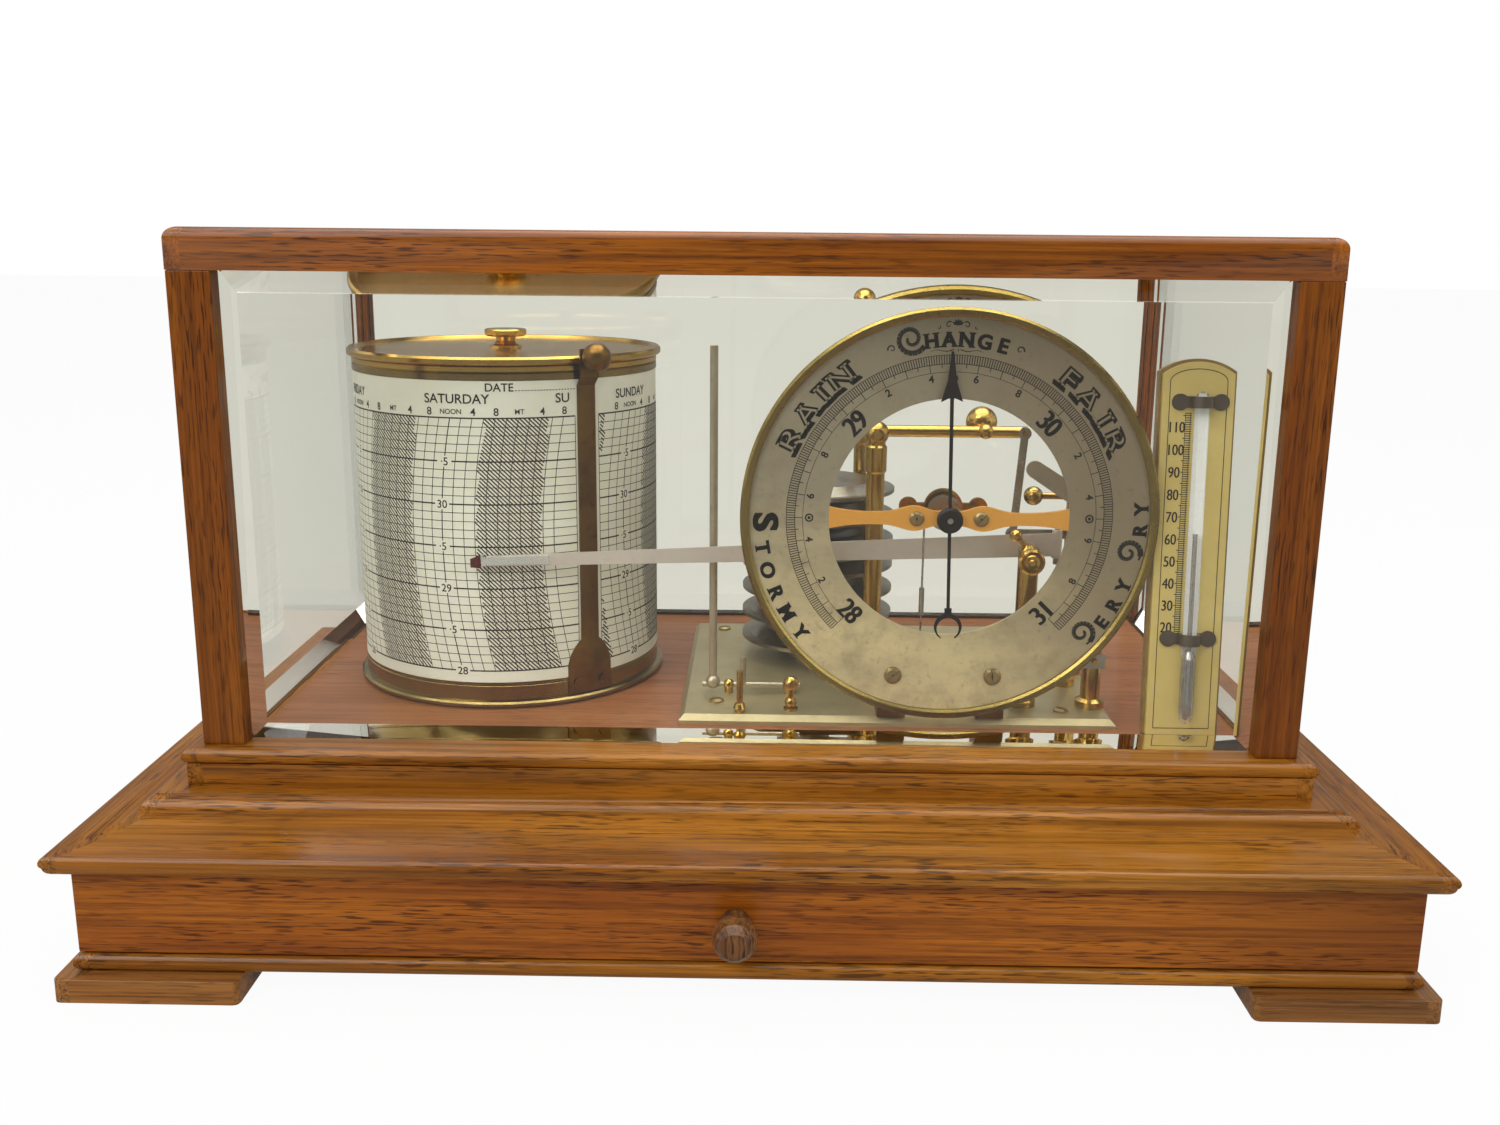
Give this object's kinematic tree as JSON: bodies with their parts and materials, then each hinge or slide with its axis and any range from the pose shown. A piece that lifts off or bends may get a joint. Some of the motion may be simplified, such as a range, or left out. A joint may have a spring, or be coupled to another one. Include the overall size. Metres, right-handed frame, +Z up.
{
  "type": "barograph",
  "caption": "Recording barometer in a glazed wooden case with a chart drum, aneroid capsule stack, long pen arm, ring dial, thermometer and a chart drawer.",
  "frame": {"origin": "centre of the overall outline, at the level the feet stand on", "axes": "+Z up, +X to the right seen from the front, front (drawer knob and dial) towards -Y"},
  "size_m": [0.364, 0.2305, 0.1996],
  "materials": {
    "oak": "varnished",
    "inner_wood": "plain planed",
    "platform_wood": "varnished, dark reddish brown",
    "pane_glass": "clear, bevelled",
    "tube_glass": "clear",
    "lacquered_brass": "polished and lacquered",
    "polished_steel": "polished",
    "blued_steel": "dark blued",
    "silvered_metal": "silvered, finely brushed",
    "capsule_metal": "satin",
    "arm_aluminium": "satin",
    "chart_paper": "matt, printed",
    "nib_red": "glossy, ink stained",
    "mercury": "bright liquid"
  },
  "bodies": {
    "case": {"cornice": "oak", "case_walls": "oak", "bead_frame": "oak", "base_board": "inner_wood", "bracket_feet": "oak", "platform": "platform_wood", "drawer_runners": "inner_wood", "movement_plate": "lacquered_brass", "movement_screws": "lacquered_brass", "capsule_stack": "capsule_metal", "lever_pillars": "lacquered_brass", "spindle_posts": "lacquered_brass", "regulator_stands": "lacquered_brass", "leaf_spring": "polished_steel", "dial_ring": "silvered_metal", "dial_bezel": "lacquered_brass", "dial_bridge": "lacquered_brass", "arbor_cock": "lacquered_brass", "dial_feet": "lacquered_brass", "lifter_bearings": "lacquered_brass", "thermometer_plate": "silvered_metal", "thermometer_back": "inner_wood", "thermometer_prop": "lacquered_brass", "thermometer_tube": "tube_glass", "thermometer_mercury": "mercury", "thermometer_clips": "lacquered_brass", "drum_spindle": "polished_steel"},
    "hood": {"hood_posts": "oak", "hood_top_rails": "oak", "hood_bottom_rails": "oak", "glass_long_panes": "pane_glass", "glass_end_panes": "pane_glass", "glass_top": "pane_glass"},
    "drawer": {"drawer_front": "oak", "drawer_tray": "inner_wood", "drawer_knob": "oak"},
    "drum": {"drum_shell": "lacquered_brass", "drum_chart": "chart_paper", "chart_clip": "lacquered_brass", "clip_screws": "lacquered_brass", "clock_frame": "lacquered_brass", "clock_barrel": "lacquered_brass", "winding_key": "polished_steel"},
    "drum_lid": {"drum_lid": "lacquered_brass", "lid_knob": "lacquered_brass"},
    "clock_pinion": {"clock_pinion": "polished_steel"},
    "pen_carrier": {"pen_spindle": "polished_steel"},
    "pen_arm": {"pen_arm": "arm_aluminium", "pen_holder": "polished_steel", "pen_nib": "nib_red"},
    "main_lever": {"main_lever": "polished_steel"},
    "lever_link": {"lever_link": "polished_steel"},
    "stack_stem": {"stack_stem": "capsule_metal"},
    "hand": {"hand_arbor": "polished_steel", "dial_hand": "blued_steel"},
    "hand_lever": {"hand_lever": "polished_steel"},
    "hand_link": {"hand_link": "polished_steel"},
    "hand_thread": {"hand_thread": "polished_steel"},
    "lifter": {"lifter": "lacquered_brass"},
    "regulator": {"regulator_knob": "lacquered_brass"}
  },
  "joints": [
    {"name": "hood_lift", "type": "slide", "parent": "case", "child": "hood", "axis": [0, 0, 1], "range_m": [0, 0.15]},
    {"name": "drawer_slide", "type": "slide", "parent": "case", "child": "drawer", "axis": [0, -1, 0], "range_m": [0, 0.14]},
    {"name": "drum_turn", "type": "hinge", "parent": "case", "child": "drum", "pos_m": [-0.0785, 0.00928, 0.1], "axis": [0, 0, 1], "continuous": true},
    {"name": "lid_lift", "type": "slide", "parent": "drum", "child": "drum_lid", "axis": [0, 0, 1], "range_m": [0, 0.02]},
    {"name": "pinion_turn", "type": "hinge", "parent": "drum", "child": "clock_pinion", "pos_m": [-0.05983, 0.00928, 0.1], "axis": [0, 0, 1], "continuous": true},
    {"name": "pen_swing", "type": "hinge", "parent": "case", "child": "pen_carrier", "pos_m": [0.101, -0.02523, 0.11], "axis": [0, 1, 0], "range_deg": [-10.5, 13.4], "stiffness_Nm_per_rad": 0.2},
    {"name": "arm_lift", "type": "hinge", "parent": "pen_carrier", "child": "pen_arm", "pos_m": [0.091, -0.02523, 0.11], "axis": [0, 0, 1], "range_deg": [0, 2.8]},
    {"name": "lever_rock", "type": "hinge", "parent": "case", "child": "main_lever", "pos_m": [0.037, -0.00972, 0.1412], "axis": [0, 1, 0], "range_deg": [-6.43, 5.08]},
    {"name": "link_swing", "type": "hinge", "parent": "main_lever", "child": "lever_link", "pos_m": [0.0822, -0.01232, 0.1412], "axis": [0, 1, 0], "range_deg": [-5.08, 6.43]},
    {"name": "stem_slide", "type": "slide", "parent": "case", "child": "stack_stem", "axis": [0, 0, 1], "range_m": [-0.0018, 0.0014]},
    {"name": "hand_turn", "type": "hinge", "parent": "case", "child": "hand", "pos_m": [0.0551, -0.04573, 0.1223], "axis": [0, 1, 0], "range_deg": [-106, 135]},
    {"name": "hand_lever_rock", "type": "hinge", "parent": "case", "child": "hand_lever", "pos_m": [0.101, -0.03982, 0.078], "axis": [0, 1, 0], "range_deg": [-10.7, 13.6]},
    {"name": "hand_link_swing", "type": "hinge", "parent": "hand_lever", "child": "hand_link", "pos_m": [0.093, -0.04052, 0.078], "axis": [0, 1, 0], "range_deg": [-13.6, 10.7]},
    {"name": "thread_slide", "type": "slide", "parent": "case", "child": "hand_thread", "axis": [0, 0, 1], "range_m": [-0.0097, 0.0123]},
    {"name": "lifter_turn", "type": "hinge", "parent": "case", "child": "lifter", "pos_m": [-0.0114, -0.02823, 0.0657], "axis": [-1, 0, 0], "range_deg": [-12, 0]},
    {"name": "regulator_turn", "type": "hinge", "parent": "case", "child": "regulator", "pos_m": [0.0807, -0.03973, 0.108], "axis": [0, 1, 0], "range_deg": [-180, 180]}
  ],
  "couplings": [
    {"joint": "pinion_turn", "follows": "drum_turn", "ratio": 6},
    {"joint": "lever_rock", "follows": "pen_swing", "ratio": -0.4646},
    {"joint": "link_swing", "follows": "pen_swing", "ratio": 0.4646},
    {"joint": "stem_slide", "follows": "pen_swing", "m_per_rad": -0.0072942},
    {"joint": "hand_turn", "follows": "pen_swing", "ratio": 10},
    {"joint": "hand_lever_rock", "follows": "pen_swing", "ratio": 1},
    {"joint": "hand_link_swing", "follows": "pen_swing", "ratio": -1},
    {"joint": "thread_slide", "follows": "pen_swing", "m_per_rad": 0.0516},
    {"joint": "arm_lift", "follows": "lifter_turn", "ratio": -0.22}
  ]
}
